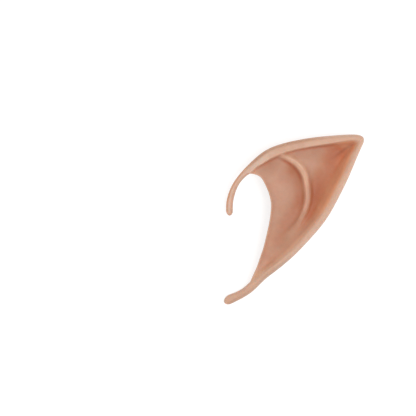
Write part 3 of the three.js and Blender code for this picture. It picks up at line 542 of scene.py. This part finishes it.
# painted highlight: paler on the inner side of the upper arm and along the rear rim's edge
arm_highlight = step(0.9 - 0.4 * on_arm, 2.0 - 0.7 * on_arm, d_top) * (1 - step(5.5, 7.2, row))
rear_rim_highlight = 0.3 * (1 - step(1.2, 2.6, d_rear)) * step(13.5, 15.0, row) * (1 - step(20.0, 21.0, row))
attribute("pale", np.maximum(arm_highlight, rear_rim_highlight) * (1 - step(0.2, 1.2, sunk)) * front)
# painted light and shade: lighter on the rear slope and its lower part, on the fold's flank, beside its crest, beside
# the valley near the tip, on part of the concha and by the lower bay; darker on the lower rims, the bowl, the bay's
# edge, behind the fold's lower part, in the valley and on the outer edges of the top rim and tail
slope = (1 - step(17.0, 18.5, row)) * step(1.6, 3.2, d_rear) * (1 - step(6.0, 10.5, d_rear)) * step(0.5, 4.5, d_top - d_rear)
low_rim = step(16.0, 18.0, row) * (1 - step(21.5, 22.5, row)) * (1 - step(1.8, 3.0, d_rear))
edges = np.maximum(top_edge * step(4.0, 5.0, row), tail_edge)
near_rear = step(0.0, 1.5, d_top - d_rear)
off_valley = (1 - step(10 + 3 * near_rear, 16 + 4 * near_rear, from_tip)) * step(0.2, 1.8, np.abs(d_top - d_rear))
off_valley = off_valley * step(0.6, 2.2, sunk) * on_field
low_slope = step(16.8, 18.0, row) * (1 - step(20.5, 21.5, row)) * step(2.8, 4.0, d_rear) * (1 - step(5.5, 8.0, d_rear))
low_behind = np.exp(-((beside - 2.2) / 0.9) ** 2) * step(6.0, 7.5, along) * (1 - step(10.5, 12.0, along))
bright = np.exp(-(((xy[:, 0] + 9.5) / 6) ** 2 + ((xy[:, 1] - 18) / 6) ** 2)) * step(1.0, 2.0, sunk)
bay_low = (1 - step(2.0, 6.0, d_bay)) * step(17.0, 18.0, row) * (1 - step(19.5, 21.0, row))
painted_light_and_shade = 0.17 * slope - 0.06 * low_rim - 0.07 * bowl + 0.22 * flank - 0.07 * bay_edge
painted_light_and_shade = painted_light_and_shade + 0.13 * off_valley - 0.09 * low_behind + 0.05 * bright + 0.07 * bay_low
painted_light_and_shade = painted_light_and_shade + 0.10 * near_crest - 0.08 * valley * on_field + 0.09 * low_slope
attribute("painted_light_and_shade", 1 + painted_light_and_shade * front - 0.16 * edges * side_fade)
# the mould's parting line runs round the outline, where front and back surface meet
attribute("outline", np.clip(real_depth, 0, 10))

skin = bpy.data.objects.new("ear_tip_skin", mesh)
bpy.context.scene.collection.objects.link(skin)
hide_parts("ear_tip")
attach(skin, "root")

# ---------------------------------------------------------------------------------------------------------------
# Latex
# ---------------------------------------------------------------------------------------------------------------

latex = bpy.data.materials.new("latex_skin")
latex.use_nodes = True
tree = latex.node_tree
shader = tree.nodes["Principled BSDF"]


def node(kind, **settings):
    n = tree.nodes.new(kind)
    for key, value in settings.items():
        setattr(n, key, value)
    return n


def put(socket, value):
    if isinstance(value, bpy.types.NodeSocket):
        tree.links.new(value, socket)
    else:
        socket.default_value = value


def noise(scale, detail=3.0, rough=0.55, distortion=0.0):
    n = node("ShaderNodeTexNoise")
    put(n.inputs["Vector"], coords)
    for key, value in (("Scale", scale), ("Detail", detail), ("Roughness", rough), ("Distortion", distortion)):
        n.inputs[key].default_value = value
    return n.outputs["Fac"]


def remap(value, lo, hi, out_lo=0.0, out_hi=1.0, smooth=True):
    n = node("ShaderNodeMapRange", interpolation_type="SMOOTHSTEP" if smooth else "LINEAR")
    put(n.inputs["Value"], value)
    for key, v in (("From Min", lo), ("From Max", hi), ("To Min", out_lo), ("To Max", out_hi)):
        n.inputs[key].default_value = v
    return n.outputs["Result"]


def blend(fac, a, b, kind="MIX"):
    n = node("ShaderNodeMix", data_type="RGBA", blend_type=kind)
    put(n.inputs[0], fac)
    put(n.inputs[6], a)
    put(n.inputs[7], b)
    return n.outputs[2]


def maths(kind, a, b=0.0, c=0.0):
    n = node("ShaderNodeMath", operation=kind)
    for socket, value in zip(n.inputs, (a, b, c)):
        put(socket, value)
    return n.outputs[0]


def read(name):
    return node("ShaderNodeAttribute", attribute_name=name).outputs["Fac"]


coords = node("ShaderNodeTexCoord").outputs["Object"]
fine, outline, sunk = read("fine_pit"), read("outline"), read("sunk")

# painted shade: the colour is paler on the ridges and redder and darker the deeper the surface lies below the rim, in
# mm, standing in for the shade and bounced light in the hollows
DEPTH_SHADE_TINTS = (
    (0.0, (0.625, 0.385, 0.272)), (1.5, (0.620, 0.355, 0.236)), (2.7, (0.518, 0.280, 0.191)),
    (3.6, (0.509, 0.270, 0.180)), (4.3, (0.484, 0.245, 0.154)), (5.0, (0.462, 0.200, 0.117)), (6.2, (0.445, 0.170, 0.094)),
)
# painted shade in pits and at the fold's foot
RECESS_SHADE = (0.455, 0.115, 0.050, 1)
# painted shade, redder, in the hollows
RUDDY_SHADE = (1.02, 0.80, 0.63, 1)
# painted highlight
PALE_HIGHLIGHT = (1.09, 1.21, 1.32, 1)
BLUSH = (0.500, 0.225, 0.150, 1)

ramp = node("ShaderNodeValToRGB")
put(ramp.inputs[0], remap(sunk, 0.0, 8.0, smooth=False))
stops = ramp.color_ramp.elements
while len(stops) < len(DEPTH_SHADE_TINTS):
    stops.new(0.5)
for stop, (depth_mm, rgb) in zip(stops, DEPTH_SHADE_TINTS):
    stop.position = depth_mm / 8.0
for stop, (depth_mm, rgb) in zip(stops, DEPTH_SHADE_TINTS):
    stop.color = (*rgb, 1)
colour = ramp.outputs["Color"]
# painted shade: redder and darker in the hollows and on the top rim's outer edge
colour = blend(read("ruddy_shade"), colour, RUDDY_SHADE, "MULTIPLY")
# painted highlight on the upper arm's inner side and the rear rim's edge
colour = blend(read("pale"), colour, PALE_HIGHLIGHT, "MULTIPLY")
# painted shade: pits and the line at the fold's foot are darkened towards the deep red-brown
in_crease = maths("MULTIPLY", remap(fine, 0.12, 0.9), 0.48)
colour = blend(maths("MAXIMUM", in_crease, maths("MULTIPLY", read("crease_shade"), 0.72)), colour, RECESS_SHADE)
colour = blend(maths("MULTIPLY", remap(noise(90, 4), 0.42, 0.74), 0.22), colour, BLUSH)
mottle = remap(noise(420, 4, 0.6), 0.30, 0.70, 0.955, 1.03, smooth=False)
speck = remap(noise(2600, 2, 0.5), 0.62, 0.78, 1.0, 0.93)
# painted light and shade: the mottled lightness is scaled place by place
shade = maths("MULTIPLY", maths("MULTIPLY", mottle, speck), read("painted_light_and_shade"))
vary = node("ShaderNodeVectorMath", operation="SCALE")
put(vary.inputs[0], colour)
put(vary.inputs["Scale"], shade)
put(shader.inputs["Base Color"], vary.outputs[0])

put(shader.inputs["Roughness"], remap(noise(300, 3), 0.3, 0.7, 0.47, 0.60))
shader.inputs["Subsurface Weight"].default_value = 0.22
shader.inputs["Subsurface Radius"].default_value = (1.0, 0.36, 0.16)
shader.inputs["Subsurface Scale"].default_value = 0.0018
shader.inputs["IOR"].default_value = 1.47
shader.inputs["Specular IOR Level"].default_value = 0.38

# surface: soft casting waves, fine pores, and the faint parting line
waves = maths("MULTIPLY", noise(160, 3), 0.00022)
pores = maths("MULTIPLY", noise(1900, 3, 0.6), 0.000055)
seam = remap(outline, 0.34, 0.0, 0.0, 0.00006)
bump = node("ShaderNodeBump")
bump.inputs["Strength"].default_value = 1.0
bump.inputs["Distance"].default_value = 1.0
put(bump.inputs["Height"], maths("ADD", maths("ADD", waves, pores), seam))
put(shader.inputs["Normal"], bump.outputs["Normal"])
mesh.materials.append(latex)

# ---------------------------------------------------------------------------------------------------------------
# Floor, light and camera
# ---------------------------------------------------------------------------------------------------------------

bpy.ops.mesh.primitive_plane_add(size=6, location=(0, 0, -0.0001))
floor = bpy.context.object
floor.name = "floor"
pale = bpy.data.materials.new("floor_pale")
pale.use_nodes = True
pale.node_tree.nodes["Principled BSDF"].inputs["Base Color"].default_value = (0.38, 0.38, 0.38, 1)
pale.node_tree.nodes["Principled BSDF"].inputs["Roughness"].default_value = 0.9
pale.node_tree.nodes["Principled BSDF"].inputs["Specular IOR Level"].default_value = 0.1
pale.node_tree.nodes["Principled BSDF"].inputs["Emission Color"].default_value = (1, 1, 1, 1)
pale.node_tree.nodes["Principled BSDF"].inputs["Emission Strength"].default_value = 0.72
floor.data.materials.append(pale)


def soft_light(name, place, size, energy, colour=(1, 1, 1)):
    data = bpy.data.lights.new(name, "AREA")
    data.size, data.energy, data.color = size, energy, colour
    lamp = bpy.data.objects.new(name, data)
    bpy.context.scene.collection.objects.link(lamp)
    lamp.location = place
    lamp.rotation_euler = (-Vector(place)).to_track_quat("-Z", "Y").to_euler()


soft_light("key", (0.34, -0.14, 1.10), 0.45, 5.0)
world = bpy.data.worlds.new("studio")
bpy.context.scene.world = world
world.use_nodes = True
world.node_tree.nodes["Background"].inputs[0].default_value = (1, 1, 1, 1)
world.node_tree.nodes["Background"].inputs[1].default_value = 0.74
bpy.context.scene.view_settings.view_transform = "Standard"

# straight above, framed as in the photograph: 416 px across at this many metres a pixel
PIXEL = 0.1 / 216.23
EAR_AT = (293.645, 219.115)
DISTANCE = 1.5
camera = bpy.data.cameras.new("camera")
eye = bpy.data.objects.new("camera", camera)
bpy.context.scene.collection.objects.link(eye)
eye.location = ((208 - EAR_AT[0]) * PIXEL, -(208 - EAR_AT[1]) * PIXEL, DISTANCE + 0.008)
camera.sensor_width = 36
camera.lens = 36 * DISTANCE / (416 * PIXEL)
camera.clip_start = 0.01
bpy.context.scene.camera = eye
